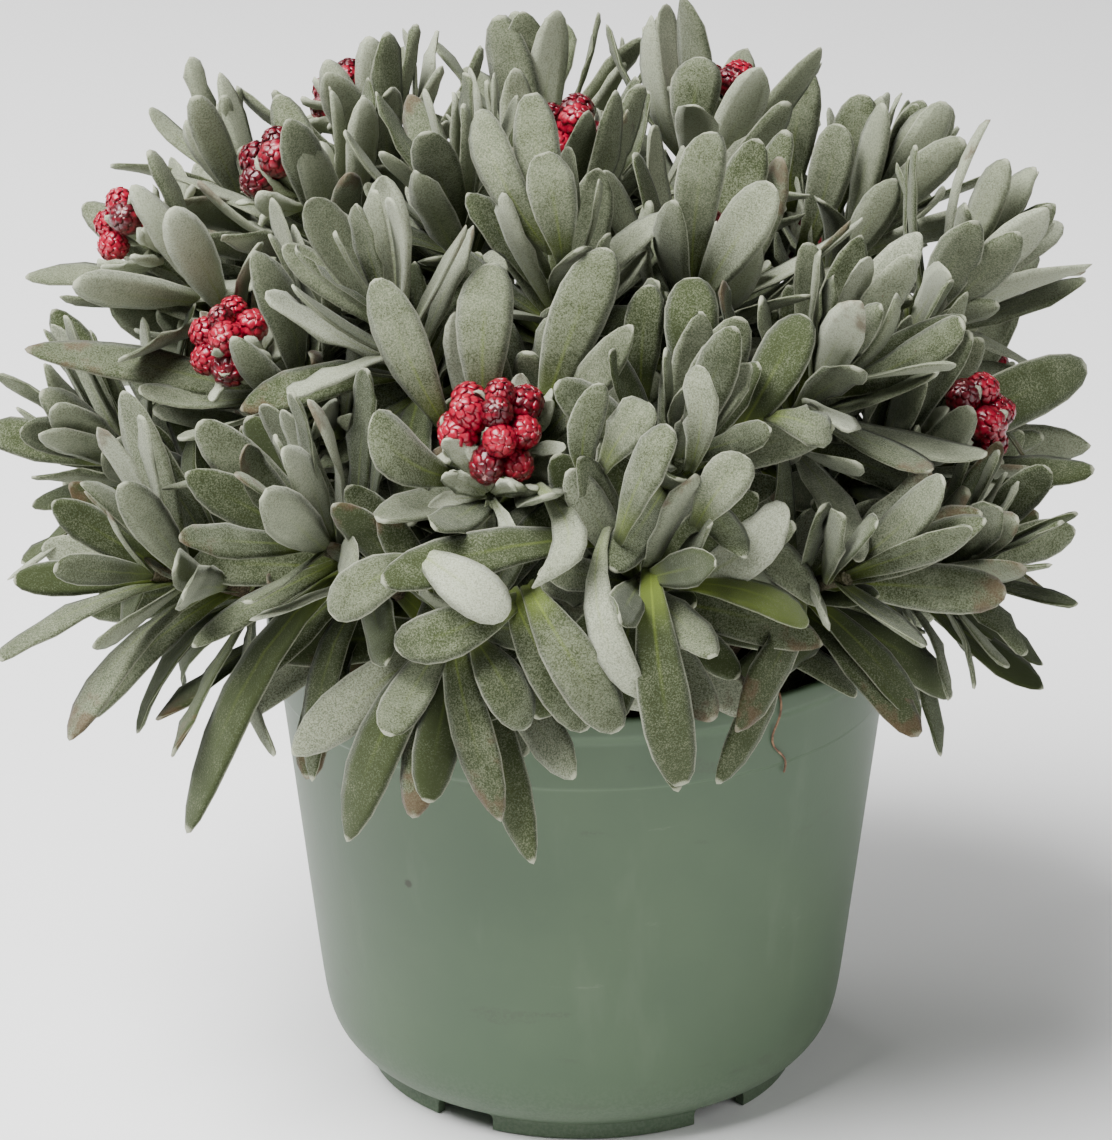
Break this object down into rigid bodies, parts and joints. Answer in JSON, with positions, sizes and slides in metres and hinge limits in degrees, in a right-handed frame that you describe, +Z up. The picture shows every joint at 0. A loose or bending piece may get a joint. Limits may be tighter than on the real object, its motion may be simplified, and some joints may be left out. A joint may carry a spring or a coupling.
{
  "type": "potted plant",
  "caption": "Bushy silver-leaved potted helichrysum with felted spoon-shaped leaves, clusters of red buds and a round tapered nursery pot.",
  "frame": {"origin": "under the middle of the whole plant's outline, at the height of the pot's foot; the pot's own axis is a little to one side of it", "axes": "+Z up from the foot of the pot, -Y towards the viewer of the front, +X to the viewer's right, along the longest way across the leaves"},
  "size_m": [0.2256, 0.2182, 0.22],
  "materials": {
    "pot": "moulded grey-green plastic with a soft sheen",
    "soil": null,
    "leaf": "silver-green leaves and stems with a fine woolly felt",
    "bud": "closed deep red buds of papery scales"
  },
  "bodies": {
    "root": {"pot": "pot", "soil": "soil", "shoot_top_middle": "leaf", "buds_top_middle": "bud", "shoot_top_right": "leaf", "buds_top_right": "bud", "shoot_top_left": "leaf", "buds_top_left": "bud", "shoot_crown_back": "leaf", "shoot_crown_left": "leaf", "shoot_upper_left": "leaf", "buds_upper_left": "bud", "shoot_far_left": "leaf", "buds_far_left": "bud", "shoot_upper_middle": "leaf", "shoot_upper_right": "leaf", "buds_upper_right": "bud", "shoot_right_crown": "leaf", "shoot_right_top": "leaf", "shoot_left_face": "leaf", "buds_left_face": "bud", "shoot_middle_face": "leaf", "shoot_left_inner": "leaf", "shoot_right_inner": "leaf", "shoot_front_face": "leaf", "buds_front_face": "bud", "shoot_right_face": "leaf", "buds_right_face": "bud", "shoot_front_right": "leaf", "shoot_front_low": "leaf", "shoot_low_right": "leaf", "shoot_far_right_low": "leaf", "shoot_low_left": "leaf", "shoot_hanging": "leaf", "shoot_far_left_low": "leaf", "shoot_left_skirt": "leaf", "shoot_right_low": "leaf", "shoot_left_low": "leaf", "shoot_back_right": "leaf", "buds_back_right": "bud", "shoot_back_middle": "leaf", "buds_back_middle": "bud", "shoot_back_left": "leaf", "shoot_back_far_left": "leaf", "buds_back_far_left": "bud", "shoot_back_far_right": "leaf", "buds_back_far_right": "bud", "shoot_back_low_left": "leaf", "shoot_back_low_middle": "leaf", "shoot_back_low_right": "leaf"}
  },
  "joints": []
}
